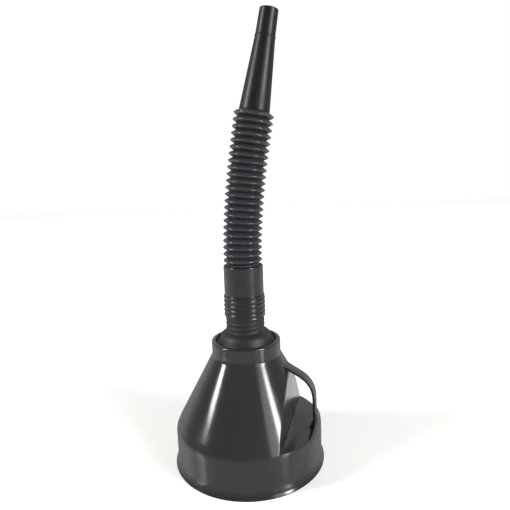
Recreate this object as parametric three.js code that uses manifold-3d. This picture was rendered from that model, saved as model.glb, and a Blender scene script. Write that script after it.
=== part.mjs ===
// Plastic filling funnel with a screwed-on flexible spout, standing on its wide mouth.
// Millimetres, +Z up, origin at the middle of the mouth's rim, on the surface it stands on.
import * as THREE from "three";
import { mergeVertices } from "three/addons/utils/BufferGeometryUtils.js";
import Module from "manifold-3d";

// Skirt, rim and bell
const skirtRadius = 70.0;
const skirtHeight = 36.8;
const rimWidth = 2.5;
const rimHeight = 1.8;
const rimFlareRise = 3.4;
const rimRounding = 0.8;
const shoulderRadius = 14.8;
const bellTopRadius = 32.5;
const bellTopHeight = 106.2;
const bellWall = 2.0;

// Throat ring on top of the bell
const throatRingHeight = 13.6;
const throatRingRounding = 2.2;
const throatFilletRadius = 12.0;
const throatWall = 4.0;
const ledgeThickness = 2.0;
const ledgeWidth = 1.7;

// Hand pocket and the strap across it
const handleAzimuth = -14.5;
const pocketDepth = 28.3;
const pocketFloorRise = 0.4;
const strapRootDrop = 9.8;
const strapSlope = 30.0;
const strapUnderSlope = 30.0;
const strapRootDepth = 2.8;
const strapBendRadius = 28.0;
const strapInset = 4.8;
const strapFootInset = 3.6;
const strapThickness = 2.4;
const strapWidth = 12.6;
const strapFootWidth = 58.0;
const strapFootHeight = 14.0;
const strapFootDepth = 6.6;
const strapFootRounding = 9.0;

// Neck fitting seated in the throat
const fitClearance = 0.3;
const fittingWall = 1.6;
const fittingSkirtHeight = 11.8;
const grooveWidth = 2.6;
const domeRise = 10.8;
const domeShoulderInset = 2.4;
const domeShoulderDrop = 3.4;
const domeRounding = 9.0;
const neckRadius = 17.3;
const neckLength = 30.9;
const neckWall = 2.0;
const neckRounding = 0.8;

// Strainer pushed up into the throat from inside the bell
const strainerSpigotHeight = 5.0;
const strainerSpigotWall = 1.8;
const strainerFlangeReach = 4.0;
const strainerFlangeThickness = 1.8;
const strainerSpokeWidth = 2.0;
const strainerSpokeCount = 4;
const gauzeThickness = 0.5;

// Collar nut
const threadPitch = 4.25;
const collarRingCount = 5;
const bareNeckHeight = 13.3;
const collarWall = 0.7;
const collarRootWall = 1.1;
const collarRingWall = 1.7;
const collarGripLength = 27.4;
const collarLipRounding = 2.2;

// Flexible hose
const hoseFlangeClearance = 0.4;
const hoseFlangeWidth = 2.4;
const hoseFlangeThickness = 2.5;
const hoseCuffStep = 0.8;
const hoseWall = 1.7;
const ribDepth = 3.9;
const ribPitch = 5.88;
const ribCount = 23;
const ribStandOff = 4.5;
const bendAngle = 10.5;
const straightRibLength = 4.4;

// Nozzle
const nozzleLength = 84.4;
const nozzleBaseStep = 0.4;
const nozzleWaistRadius = 8.85;
const nozzleWaistLength = 61.0;
const nozzleBandRise = 0.35;
const nozzleBandWidth = 1.4;
const nozzleTipRadius = 8.1;
const nozzleTipRounding = 1.7;
const nozzleWall = 1.9;
const nozzleSpigotLength = 9.0;

// Facets
const roundSides = 72;
const smallSides = 48;
const hoseSides = 24;
const arcSteps = 4;
const overrun = 1.0;

// Share of a size taken by a detail
const crestShare = 0.4;
const footBulgeShare = 0.45;
const ribsPerBoreRing = 5;

const wasm = await Module();
wasm.setup();

const degrees = Math.PI / 180;

function toSolid(geometry) {
  const bare = new THREE.BufferGeometry();
  bare.setAttribute("position", geometry.getAttribute("position").clone());
  if (geometry.index) bare.setIndex(geometry.index.clone());
  const merged = mergeVertices(bare);
  return new wasm.Manifold(new wasm.Mesh({
    numProp: 3,
    vertProperties: new Float32Array(merged.attributes.position.array),
    triVerts: new Uint32Array(merged.index.array),
  }));
}

function toGeometry(solid) {
  const mesh = solid.getMesh();
  const geometry = new THREE.BufferGeometry();
  geometry.setAttribute("position", new THREE.BufferAttribute(new Float32Array(mesh.vertProperties), 3));
  geometry.setIndex(new THREE.BufferAttribute(new Uint32Array(mesh.triVerts), 1));
  return geometry;
}

// Points of a round corner, from one tangent point to the other.
function roundCorner(corner, from, to, radius, steps) {
  const entry = new THREE.Vector2().subVectors(from, corner).normalize();
  const leave = new THREE.Vector2().subVectors(to, corner).normalize();
  const halfAngle = entry.angleTo(leave) / 2;
  const setback = radius / Math.tan(halfAngle);
  const middle = new THREE.Vector2().addVectors(entry, leave).normalize();
  const centre = corner.clone().addScaledVector(middle, radius / Math.sin(halfAngle));
  const first = corner.clone().addScaledVector(entry, setback).sub(centre);
  const last = corner.clone().addScaledVector(leave, setback).sub(centre);
  const sweep = Math.atan2(first.x * last.y - first.y * last.x, first.dot(last));
  const points = [];
  for (let step = 0; step <= steps; step++) {
    points.push(first.clone().rotateAround(new THREE.Vector2(), (sweep * step) / steps).add(centre));
  }
  return points;
}

// An outline whose corners are [x, y] or [x, y, radius of the rounding].
function outline(corners, steps = arcSteps) {
  const places = corners.map(([x, y]) => new THREE.Vector2(x, y));
  return corners.flatMap(([, , radius], index) => {
    if (!radius) return [places[index]];
    const before = places[(index + places.length - 1) % places.length];
    const after = places[(index + 1) % places.length];
    return roundCorner(places[index], before, after, radius, steps);
  });
}

// A solid of revolution about Z from a closed outline of radius and height.
function revolve(points, sides) {
  const flipped = THREE.ShapeUtils.area(points) < 0 ? points : points.slice().reverse();
  const lathe = new THREE.LatheGeometry([...flipped, flipped[0]], sides);
  lathe.rotateX(Math.PI / 2);
  const solid = toSolid(lathe);
  return solid.volume() < 0 ? toSolid(turnedInsideOut(lathe)) : solid;
}

function turnedInsideOut(geometry) {
  const flipped = geometry.clone();
  const index = flipped.index.array;
  for (let corner = 0; corner < index.length; corner += 3) {
    const kept = index[corner + 1];
    index[corner + 1] = index[corner + 2];
    index[corner + 2] = kept;
  }
  return flipped;
}

// A prism from an outline in the plane of the first axis and Z, as wide as given, centred on the other axis.
function prism(points, width) {
  const block = new THREE.ExtrudeGeometry(new THREE.Shape(points), {
    depth: width,
    bevelEnabled: false,
    steps: 1,
  });
  block.translate(0, 0, -width / 2);
  block.rotateX(Math.PI / 2);
  return block;
}

function plastic(color, roughness) {
  return new THREE.MeshStandardMaterial({ color, roughness, metalness: 0 });
}

const greyPlastic = plastic(0x3a3d3b, 0.28);
const darkPlastic = plastic(0x202123, 0.36);
const hosePlastic = plastic(0x26272a, 0.34);
const framePlastic = plastic(0x2c2e2d, 0.4);
const gauzeMetal = new THREE.MeshStandardMaterial({ color: 0xb9a36a, roughness: 0.35, metalness: 1 });

const mouthRadius = skirtRadius + rimWidth;
const bellSlope = (skirtRadius - bellTopRadius) / (bellTopHeight - skirtHeight);
const throatTopHeight = bellTopHeight + throatRingHeight;
const throatRadius = bellTopRadius - throatWall;
const ledgeHeight = bellTopHeight;
const ledgeBoreRadius = throatRadius - ledgeWidth;
const pocketWallDistance = skirtRadius - pocketDepth;
const pocketFloorHeight = skirtHeight + pocketFloorRise;
const strapRise = bellTopHeight - strapRootDrop;
const strapReach = skirtRadius - strapInset;
const strapFootReach = skirtRadius - strapFootInset;

function bellRadiusAt(height) {
  return skirtRadius - bellSlope * (height - skirtHeight);
}

function bellOutside() {
  return outline([
    [0, 0],
    [mouthRadius, 0, rimRounding],
    [mouthRadius, rimHeight, rimRounding],
    [skirtRadius, rimHeight + rimFlareRise],
    [skirtRadius, skirtHeight, shoulderRadius],
    [bellTopRadius, bellTopHeight, throatFilletRadius],
    [bellTopRadius, throatTopHeight, throatRingRounding],
    [0, throatTopHeight],
  ]);
}

// The hollow of the bell, without the pocket's walls, and the throat above it.
function bellInside() {
  const slantWall = bellWall / Math.cos(Math.atan(bellSlope));
  const innerSkirtRadius = skirtRadius - bellWall;
  const innerShoulderHeight = skirtHeight - (slantWall - bellWall) / bellSlope;
  const ledgeUnderside = ledgeHeight - ledgeThickness;
  const innerTopRadius = bellRadiusAt(ledgeUnderside) - slantWall;
  return outline([
    [0, -overrun],
    [innerSkirtRadius, -overrun],
    [innerSkirtRadius, innerShoulderHeight, shoulderRadius - bellWall],
    [innerTopRadius, ledgeUnderside],
    [ledgeBoreRadius, ledgeUnderside],
    [ledgeBoreRadius, ledgeHeight],
    [throatRadius, ledgeHeight],
    [throatRadius, throatTopHeight + overrun],
    [0, throatTopHeight + overrun],
  ]);
}

function turnToHandle(geometry) {
  return geometry.rotateZ(handleAzimuth * degrees);
}

// The block of space that the pocket takes out of the bell, grown by the wall where asked.
function pocketSpace(wall) {
  const reach = mouthRadius + overrun - (pocketWallDistance - wall);
  const rise = throatTopHeight - (pocketFloorHeight - wall);
  const block = new THREE.BoxGeometry(reach, 2 * mouthRadius, rise);
  block.translate(pocketWallDistance - wall + reach / 2, 0, pocketFloorHeight - wall + rise / 2);
  return toSolid(turnToHandle(block));
}

// Side view of the strap: a sloping run from the bell, a bend and a leg down to the pocket's floor.
function strapOutline() {
  const slope = Math.tan(strapSlope * degrees);
  const underSlope = Math.tan(strapUnderSlope * degrees);
  const rootDistance = bellRadiusAt(strapRise);
  const buriedRoot = rootDistance - bellWall / 2;
  const topAt = (distance) => strapRise - (distance - rootDistance) * slope;
  const undersideAt = (distance) => strapRise - strapRootDepth - (distance - rootDistance) * underSlope;
  const innerReach = strapReach - strapThickness;
  const footHeight = pocketFloorHeight - bellWall / 2;
  return outline([
    [buriedRoot, undersideAt(buriedRoot)],
    [innerReach, undersideAt(innerReach), strapBendRadius - strapThickness],
    [strapFootReach - strapThickness, footHeight],
    [strapFootReach, footHeight],
    [strapReach, topAt(strapReach), strapBendRadius],
    [buriedRoot, topAt(buriedRoot)],
  ], 2 * arcSteps);
}

// The strap's foot, which spreads along the pocket's outer edge as an upstand above the skirt.
function strapFoot() {
  const halfFoot = strapFootWidth / 2;
  const halfStrap = strapWidth / 2;
  const bottom = pocketFloorHeight - bellWall / 2;
  const top = pocketFloorHeight + strapFootHeight;
  const bulge = pocketFloorHeight + strapFootHeight * footBulgeShare;
  const sweep = new THREE.Shape();
  sweep.moveTo(-halfFoot, bottom);
  sweep.lineTo(halfFoot, bottom);
  sweep.lineTo(halfFoot, pocketFloorHeight);
  sweep.quadraticCurveTo(strapWidth, bulge, halfStrap, top);
  sweep.lineTo(-halfStrap, top);
  sweep.quadraticCurveTo(-strapWidth, bulge, -halfFoot, pocketFloorHeight);
  const block = new THREE.ExtrudeGeometry(sweep, {
    depth: mouthRadius,
    bevelEnabled: false,
    curveSegments: 2 * arcSteps,
  });
  block.rotateX(Math.PI / 2);
  block.rotateZ(Math.PI / 2);
  const band = revolve(outline([
    [skirtRadius - strapFootDepth, rimHeight],
    [skirtRadius, rimHeight],
    [skirtRadius, pocketFloorHeight + strapFootHeight * footBulgeShare, strapFootRounding],
    [strapFootReach, top + overrun],
    [skirtRadius - strapFootDepth, top + overrun],
  ]), roundSides);
  return toSolid(turnToHandle(block)).intersect(band);
}

function funnelBody() {
  const inside = revolve(bellInside(), roundSides);
  const hollow = inside.subtract(pocketSpace(bellWall));
  const bell = revolve(bellOutside(), roundSides).subtract(pocketSpace(0));
  const strap = toSolid(turnToHandle(prism(strapOutline(), strapWidth)));
  return toGeometry(bell.add(strap).add(strapFoot()).subtract(hollow));
}

const fittingSeatHeight = ledgeHeight + fitClearance;
const fittingRadius = throatRadius - fitClearance;
const grooveHeight = fittingSeatHeight + fittingSkirtHeight;
const domeFootRadius = fittingRadius - grooveWidth;
const domeShoulderRadius = domeFootRadius - domeShoulderInset;
const neckFootHeight = grooveHeight + domeRise;
const domeShoulderHeight = neckFootHeight - domeShoulderDrop;
const neckHeight = neckFootHeight + neckLength;
const neckBoreRadius = neckRadius - neckWall;

// The neck: a low skirt in the throat, a groove inside the ring, a dome and the tall threaded spigot.
function neckFitting() {
  return toGeometry(revolve(outline([
    [fittingRadius - fittingWall, fittingSeatHeight],
    [fittingRadius, fittingSeatHeight],
    [fittingRadius, grooveHeight],
    [domeFootRadius, grooveHeight],
    [domeShoulderRadius, domeShoulderHeight, domeRounding],
    [neckRadius, neckFootHeight],
    [neckRadius, neckHeight, neckRounding],
    [neckBoreRadius, neckHeight],
    [neckBoreRadius, neckFootHeight - fittingWall],
    [domeShoulderRadius - fittingWall, domeShoulderHeight - fittingWall],
    [domeFootRadius - fittingWall, grooveHeight - 2 * fittingWall + grooveWidth],
    [fittingRadius - fittingWall, grooveHeight - 2 * fittingWall],
  ]), roundSides));
}

const strainerFlangeTop = ledgeHeight - ledgeThickness - fitClearance;
const strainerSpigotRadius = ledgeBoreRadius - fitClearance;
const strainerBoreRadius = strainerSpigotRadius - strainerSpigotWall;
const gauzeHeight = strainerFlangeTop + strainerSpigotHeight / 2;

// The strainer's frame: a flanged ring with a cross of spokes under the gauze.
function strainerFrame() {
  const flangeBottom = strainerFlangeTop - strainerFlangeThickness;
  const ring = revolve(outline([
    [strainerBoreRadius, flangeBottom],
    [strainerSpigotRadius + strainerFlangeReach, flangeBottom],
    [strainerSpigotRadius + strainerFlangeReach, strainerFlangeTop],
    [strainerSpigotRadius, strainerFlangeTop],
    [strainerSpigotRadius, strainerFlangeTop + strainerSpigotHeight],
    [strainerBoreRadius, strainerFlangeTop + strainerSpigotHeight],
  ]), smallSides);
  const spokeTop = gauzeHeight - gauzeThickness / 2 - fitClearance;
  const spokeHeight = spokeTop - flangeBottom;
  const spokeLength = strainerBoreRadius + strainerSpigotWall / 2;
  let frame = ring;
  for (let spoke = 0; spoke < strainerSpokeCount; spoke++) {
    const bar = new THREE.BoxGeometry(spokeLength, strainerSpokeWidth, spokeHeight);
    bar.translate(spokeLength / 2, 0, flangeBottom + spokeHeight / 2);
    bar.rotateZ((spoke * 2 * Math.PI) / strainerSpokeCount);
    frame = frame.add(toSolid(bar));
  }
  return toGeometry(frame);
}

function strainerGauze() {
  const half = gauzeThickness / 2;
  return toGeometry(revolve(outline([
    [0, gauzeHeight - half],
    [strainerBoreRadius - fitClearance, gauzeHeight - half],
    [strainerBoreRadius - fitClearance, gauzeHeight + half],
    [0, gauzeHeight + half],
  ]), smallSides));
}

const collarBoreRadius = neckRadius + fitClearance;
const collarRadius = collarBoreRadius + collarWall;
const collarRootRadius = collarBoreRadius + collarRootWall;
const collarRingRadius = collarBoreRadius + collarRingWall;
const collarBottomHeight = neckFootHeight + bareNeckHeight;
const collarGripHeight = collarBottomHeight + collarRingCount * threadPitch;
const collarTopHeight = collarGripHeight + collarGripLength;
const hoseBottomHeight = neckHeight + fitClearance;
const hoseFlangeRadius = collarBoreRadius - hoseFlangeClearance;
const hoseCuffRadius = hoseFlangeRadius - hoseFlangeWidth;
const hoseRootRadius = hoseCuffRadius - hoseCuffStep;
const hoseRibRadius = hoseRootRadius + ribDepth;
const hoseBoreRadius = hoseRootRadius - hoseWall;
const collarShoulderHeight = hoseBottomHeight + hoseFlangeThickness + fitClearance;
const collarMouthRadius = hoseCuffRadius + fitClearance;

// The collar: thread rings that show on its outside below, a smooth grip above, and an inner shoulder.
function spoutCollar() {
  const corners = [[collarBoreRadius, collarBottomHeight]];
  for (let ring = 0; ring < collarRingCount; ring++) {
    const foot = collarBottomHeight + ring * threadPitch;
    corners.push([collarRootRadius, foot]);
    corners.push([collarRingRadius, foot + (threadPitch * (1 - crestShare)) / 2]);
    corners.push([collarRingRadius, foot + (threadPitch * (1 + crestShare)) / 2]);
  }
  corners.push([collarRadius, collarGripHeight]);
  corners.push([collarRadius, collarTopHeight, collarLipRounding]);
  corners.push([collarMouthRadius, collarTopHeight]);
  corners.push([collarMouthRadius, collarShoulderHeight]);
  corners.push([collarBoreRadius, collarShoulderHeight]);
  return toGeometry(revolve(outline(corners), smallSides));
}

const bend = bendAngle * degrees;
const firstRibHeight = collarTopHeight + ribStandOff;
const bendStartHeight = firstRibHeight + straightRibLength;
const ribbedLength = (ribCount - 1) * ribPitch;
const topStraight = 2 * hoseRibRadius;
const lowerRun = bendStartHeight - hoseBottomHeight;
const lastRibRun = firstRibHeight - hoseBottomHeight + ribbedLength;
const hoseLength = lastRibRun + ribPitch / 2;
const bendLength = hoseLength - lowerRun - topStraight;
const bendCentreDistance = bendLength / bend;

// Place and lean of the hose's middle line at a distance along it from its lower end.
function alongHose(run) {
  const straight = Math.min(run, lowerRun);
  const turned = THREE.MathUtils.clamp(run - lowerRun, 0, bendLength) / bendCentreDistance;
  const beyond = Math.max(run - lowerRun - bendLength, 0);
  return {
    x: bendCentreDistance * (1 - Math.cos(turned)) + beyond * Math.sin(turned),
    z: hoseBottomHeight + straight + bendCentreDistance * Math.sin(turned) + beyond * Math.cos(turned),
    lean: turned,
  };
}

// Rings of the hose, in order: up the outside over the ribs, and down the bore.
function hoseRings() {
  const flange = hoseFlangeThickness;
  const firstRib = firstRibHeight - hoseBottomHeight;
  const rings = [
    { run: 0, radius: hoseFlangeRadius },
    { run: flange, radius: hoseFlangeRadius },
    { run: flange, radius: hoseCuffRadius },
    { run: firstRib - ribPitch / 2, radius: hoseCuffRadius },
  ];
  for (let rib = 0; rib < ribCount; rib++) {
    rings.push({ run: firstRib + rib * ribPitch, radius: hoseRibRadius });
    rings.push({ run: firstRib + (rib + 1 / 2) * ribPitch, radius: hoseRootRadius });
  }
  for (let run = hoseLength; run > lowerRun; run -= ribsPerBoreRing * ribPitch) {
    rings.push({ run, radius: hoseBoreRadius });
  }
  rings.push({ run: 0, radius: hoseBoreRadius });
  return rings;
}

// One closed skin over the rings, whose last ring joins the first.
function spoutHose() {
  const rings = hoseRings();
  const positions = [];
  for (const { run, radius } of rings) {
    const { x, z, lean } = alongHose(run);
    for (let side = 0; side < hoseSides; side++) {
      const angle = (side * 2 * Math.PI) / hoseSides;
      const across = radius * Math.cos(angle);
      positions.push(x + across * Math.cos(lean), radius * Math.sin(angle), z - across * Math.sin(lean));
    }
  }
  const indices = [];
  for (let ring = 0; ring < rings.length; ring++) {
    const lower = ring * hoseSides;
    const upper = ((ring + 1) % rings.length) * hoseSides;
    for (let side = 0; side < hoseSides; side++) {
      const next = (side + 1) % hoseSides;
      indices.push(lower + side, lower + next, upper + next);
      indices.push(lower + side, upper + next, upper + side);
    }
  }
  const geometry = new THREE.BufferGeometry();
  geometry.setAttribute("position", new THREE.Float32BufferAttribute(positions, 3));
  geometry.setIndex(indices);
  return geometry;
}

// The nozzle in its own frame: base at zero, tip up, with a spigot that reaches down into the hose.
function spoutNozzle() {
  const spigotRadius = hoseBoreRadius - fitClearance;
  const nozzleBaseRadius = hoseRootRadius - nozzleBaseStep;
  const nozzleBandRadius = nozzleWaistRadius + nozzleBandRise;
  const bandTop = nozzleWaistLength + nozzleBandWidth;
  return toGeometry(revolve(outline([
    [spigotRadius - nozzleWall, -nozzleSpigotLength],
    [spigotRadius, -nozzleSpigotLength],
    [spigotRadius, 0],
    [nozzleBaseRadius, 0],
    [nozzleWaistRadius, nozzleWaistLength],
    [nozzleBandRadius, nozzleWaistLength],
    [nozzleBandRadius, bandTop],
    [nozzleWaistRadius, bandTop],
    [nozzleTipRadius, nozzleLength, nozzleTipRounding],
    [nozzleTipRadius - nozzleWall, nozzleLength],
    [nozzleWaistRadius - nozzleWall, nozzleWaistLength],
  ]), smallSides));
}

function part(name, geometry, material) {
  const shape = geometry.index ? geometry.toNonIndexed() : geometry;
  shape.computeVertexNormals();
  const mesh = new THREE.Mesh(shape, material);
  mesh.name = name;
  return mesh;
}

const funnel = new THREE.Group();
funnel.add(part("funnel_body", funnelBody(), greyPlastic));
funnel.add(part("neck_fitting", neckFitting(), darkPlastic));
funnel.add(part("strainer_frame", strainerFrame(), framePlastic));
funnel.add(part("strainer_gauze", strainerGauze(), gauzeMetal));
funnel.add(part("spout_collar", spoutCollar(), greyPlastic));
funnel.add(part("spout_hose", spoutHose(), hosePlastic));

const nozzle = part("spout_nozzle", spoutNozzle(), darkPlastic);
const hoseTop = alongHose(hoseLength + fitClearance);
nozzle.position.set(hoseTop.x, 0, hoseTop.z);
nozzle.rotation.y = hoseTop.lean;
funnel.add(nozzle);

export default funnel;
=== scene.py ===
import math

import bmesh
import bpy
from mathutils import Matrix, Vector


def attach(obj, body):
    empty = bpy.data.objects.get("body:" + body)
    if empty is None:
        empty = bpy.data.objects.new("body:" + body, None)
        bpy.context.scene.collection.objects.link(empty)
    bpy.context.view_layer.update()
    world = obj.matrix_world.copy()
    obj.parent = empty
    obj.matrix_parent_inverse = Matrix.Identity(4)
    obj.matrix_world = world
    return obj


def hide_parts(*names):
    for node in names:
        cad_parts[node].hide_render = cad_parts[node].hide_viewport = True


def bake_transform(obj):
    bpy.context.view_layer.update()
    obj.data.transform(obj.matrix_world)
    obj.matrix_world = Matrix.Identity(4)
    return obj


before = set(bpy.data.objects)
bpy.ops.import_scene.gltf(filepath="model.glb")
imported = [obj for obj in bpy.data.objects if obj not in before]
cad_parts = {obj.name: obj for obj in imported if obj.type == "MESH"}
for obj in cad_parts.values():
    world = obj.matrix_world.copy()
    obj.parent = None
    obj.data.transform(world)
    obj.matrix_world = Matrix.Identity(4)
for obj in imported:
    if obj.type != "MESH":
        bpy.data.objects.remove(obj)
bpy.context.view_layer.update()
mm = 0.001
weldDistance = 0.002 * mm  # points closer than this are one

scene = bpy.context.scene
scene.view_settings.view_transform = "Standard"


# Shared mesh helpers, all working in millimetres until a mesh is written.

def finishMesh(piece, material, sharpAngle=38):
    mesh = piece.data
    mesh.materials.clear()
    mesh.materials.append(material)
    mesh.polygons.foreach_set("use_smooth", [True] * len(mesh.polygons))
    mesh.set_sharp_from_angle(angle=math.radians(sharpAngle))
    mesh.update()


def newObject(name, data):
    thing = bpy.data.objects.new(name, data)
    bpy.context.collection.objects.link(thing)
    return thing


def buildPiece(name, points, faces, material, place=None, sharpAngle=38):
    mesh = bpy.data.meshes.new(name)
    mesh.from_pydata([Vector(point) * mm for point in points], [], faces)
    work = bmesh.new()
    work.from_mesh(mesh)
    bmesh.ops.remove_doubles(work, verts=work.verts, dist=weldDistance)
    bmesh.ops.dissolve_degenerate(work, edges=work.edges, dist=weldDistance)
    bmesh.ops.recalc_face_normals(work, faces=work.faces)
    if work.calc_volume(signed=True) < 0:
        bmesh.ops.reverse_faces(work, faces=work.faces)
    if place:
        work.transform(place)
    work.to_mesh(mesh)
    work.free()
    piece = newObject(name, mesh)
    finishMesh(piece, material, sharpAngle)
    return piece


def gridFaces(rings, sides, closed=True):  # closed round the axis, and along the outline where asked
    faces = []
    for ring in range(rings if closed else rings - 1):
        lower = ring * sides
        upper = ((ring + 1) % rings) * sides
        for side in range(sides):
            after = (side + 1) % sides
            faces.append((lower + side, lower + after, upper + after, upper + side))
    return faces


def turnedPiece(name, outlineAt, sides, material, place=None, sharpAngle=38):
    columns = [outlineAt(2 * math.pi * side / sides) for side in range(sides)]
    points = []
    for ring in range(len(columns[0])):
        for side, column in enumerate(columns):
            angle = 2 * math.pi * side / sides
            radius, height = column[ring]
            points.append((radius * math.cos(angle), radius * math.sin(angle), height))
    return buildPiece(name, points, gridFaces(len(columns[0]), sides), material, place, sharpAngle)


def barPiece(name, points, sides, material, place):  # sections of equal count, capped at both ends
    faces = gridFaces(len(points) // sides, sides, closed=False)
    faces += [tuple(range(sides)), tuple(reversed(range(len(points) - sides, len(points))))]
    return buildPiece(name, points, faces, material, place)


def easedCorner(before, corner, after, setback, steps=6):  # a corner as a short smooth curve
    corner = Vector(corner)
    toBefore = Vector(before) - corner
    toAfter = Vector(after) - corner
    edgeShare, least = 0.48, 0.01  # neighbouring curves never meet, and a tiny one is left out
    cut = min(setback, edgeShare * toBefore.length, edgeShare * toAfter.length)
    if cut < least:
        return [corner.copy() for _ in range(steps + 1)]
    start = corner + toBefore.normalized() * cut
    end = corner + toAfter.normalized() * cut
    points = []
    for step in range(steps + 1):
        share = step / steps
        points.append(start * (1 - share) ** 2 + corner * 2 * share * (1 - share) + end * share ** 2)
    return points


def easedOutline(corners, steps=6):  # corners are (radius, height, setback)
    points = []
    for index, (radius, height, setback) in enumerate(corners):
        if not setback:
            points.append(Vector((radius, height)))
            continue
        before = corners[index - 1][:2]
        after = corners[(index + 1) % len(corners)][:2]
        points.extend(easedCorner(before, (radius, height), after, setback, steps))
    return points


def softPath(corners, count):  # corners are (point, width over which the path is averaged there)
    growth, leastWidth, steps = 1.2, 0.5, 160  # the width grows away from a corner, and steps only measure
    places = [0.0]
    for (start, _), (end, _) in zip(corners, corners[1:]):
        places.append(places[-1] + (end - start).length)
    total = places[-1]

    def summed(place):
        whole = Vector((0, 0))
        for index, (start, _) in enumerate(corners[:-1]):
            span = places[index + 1] - places[index]
            part = min(place - places[index], span)
            if part <= 0:
                continue
            whole += start * part + (corners[index + 1][0] - start) * (part * part / (2 * span))
        return whole

    def widthAt(place):
        width = min(soft + growth * abs(place - at) for at, (_, soft) in zip(places, corners))
        return min(width, 2 * place, 2 * (total - place))

    fine = [total * (step + 0.5) / steps for step in range(steps)]
    dense = [1 / (widthAt(place) + leastWidth) for place in fine]
    whole = sum(dense)
    points = [corners[0][0].copy()]
    reached, passed = 0, 0.0
    for step in range(1, count):  # more points where the averaging is narrow
        target = whole * step / count
        while passed + dense[reached] < target:
            passed += dense[reached]
            reached += 1
        place = total * (reached + (target - passed) / dense[reached]) / steps
        half = widthAt(place) / 2
        points.append((summed(place + half) - summed(place - half)) / (2 * half))
    points.append(corners[-1][0].copy())
    return points


def spreadOutline(points, step):  # long straight runs cut into short ones, for threads to bend
    spread = []
    for index, point in enumerate(points):
        following = points[(index + 1) % len(points)]
        pieces = max(1, math.ceil((following - point).length / step))
        spread.extend(point.lerp(following, part / pieces) for part in range(pieces))
    return spread


def bakePiece(piece):
    graph = bpy.context.evaluated_depsgraph_get()
    mesh = bpy.data.meshes.new_from_object(piece.evaluated_get(graph), depsgraph=graph)
    mesh.name = piece.name
    piece.modifiers.clear()
    piece.data = mesh


# Materials: moulded plastics with a faint mottle, a grain, wavy walls and handling marks, and a brass gauze.

def addNode(tree, kind, place, **settings):
    node = tree.nodes.new(kind)
    node.location = place
    for name, value in settings.items():
        setattr(node, name, value)
    return node


def feed(tree, node, values):  # sockets are linked, plain values are set
    for label, value in values.items():
        if isinstance(value, bpy.types.NodeSocket):
            tree.links.new(value, node.inputs[label])
        else:
            node.inputs[label].default_value = value


def makeNode(tree, kind, place, values, **settings):  # a node with its inputs fed, known by its first output
    node = addNode(tree, kind, place, **settings)
    feed(tree, node, values)
    return node.outputs[0]


def formula(tree, operation, *values, **settings):
    return makeNode(tree, "ShaderNodeMath", (0, 0), dict(enumerate(values)), operation=operation, **settings)


def ease(tree, value, low, high, extra=None):  # 0 below low, 1 above high, smooth between
    values = {"Value": value, "From Min": low, "From Max": high, **(extra or {})}
    return makeNode(tree, "ShaderNodeMapRange", (0, 0), values, interpolation_type="SMOOTHSTEP")


def mixColours(tree, factor, first, second):
    mix = addNode(tree, "ShaderNodeMix", (-300, 250), data_type="RGBA")
    feed(tree, mix, {"Factor": factor, "A": (*first, 1), "B": (*second, 1)})
    return mix.outputs["Result"]


def newMaterial(name, shaderKind):  # with its tree, its shader and the place on the object
    material = bpy.data.materials.new(name)
    material.use_nodes = True
    tree = material.node_tree
    tree.nodes.clear()
    output = addNode(tree, "ShaderNodeOutputMaterial", (900, 0))
    shader = addNode(tree, shaderKind, (600, 0))
    tree.links.new(shader.outputs[0], output.inputs["Surface"])
    where = addNode(tree, "ShaderNodeTexCoord", (-900, 0)).outputs["Object"]
    return material, tree, shader, where


def mouldedPlastic(name, look):
    material, tree, shader, where = newMaterial(name, "ShaderNodeBsdfPrincipled")

    def noise(scale, detail, place, **values):
        values = {"Vector": where, "Scale": scale, "Detail": detail, **values}
        return makeNode(tree, "ShaderNodeTexNoise", place, values)

    mottle = noise(look["mottleScale"], 4, (-600, 200))
    marks = noise(look["marksScale"], 6, (-600, -50), Roughness=0.62)
    gloss = makeNode(tree, "ShaderNodeMapRange", (-300, -50), {  # wiped and handled patches
        "Value": marks, "From Min": 0.3, "From Max": 0.7, "To Min": look["smoothest"], "To Max": look["roughest"],
    })
    facing = addNode(tree, "ShaderNodeLayerWeight", (-600, 500))
    facing.inputs["Blend"].default_value = 0.5
    graze = ease(tree, facing.outputs["Facing"], 0.35, 0.9, {"To Max": look["grazeRoughness"]})  # a dulled glance
    if "polishedWall" in look:  # a flat wall that keeps most of its gloss
        wall = look["polishedWall"]
        azimuth = math.radians(wall["azimuth"])
        depth = addNode(tree, "ShaderNodeVectorMath", (-600, 800), operation="DOT_PRODUCT")
        feed(tree, depth, {0: where, 1: (math.cos(azimuth), math.sin(azimuth), 0)})
        onWall = formula(
            tree, "COMPARE", depth.outputs["Value"], wall["distance"] * mm, wall["tolerance"] * mm,
        )
        graze = formula(
            tree, "MULTIPLY_ADD", onWall, -wall["share"] * look["grazeRoughness"], graze, use_clamp=True,
        )
    fineBump = makeNode(tree, "ShaderNodeBump", (50, -350), {
        "Strength": look["grainStrength"], "Distance": look["grainDepth"] * mm,
        "Height": noise(look["grainScale"], 3, (-600, -350)),
    })
    waveBump = makeNode(tree, "ShaderNodeBump", (300, -450), {  # slow waviness of a moulded wall
        "Strength": look["waveStrength"], "Distance": look["waveDepth"] * mm,
        "Height": noise(look["waveScale"], 1, (-600, -650)), "Normal": fineBump,
    })
    feed(tree, shader, {
        "Base Color": mixColours(tree, mottle, look["darkColour"], look["lightColour"]),
        "Roughness": formula(tree, "ADD", gloss, graze, use_clamp=True), "Normal": waveBump, "IOR": look["ior"],
    })
    return material


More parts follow.
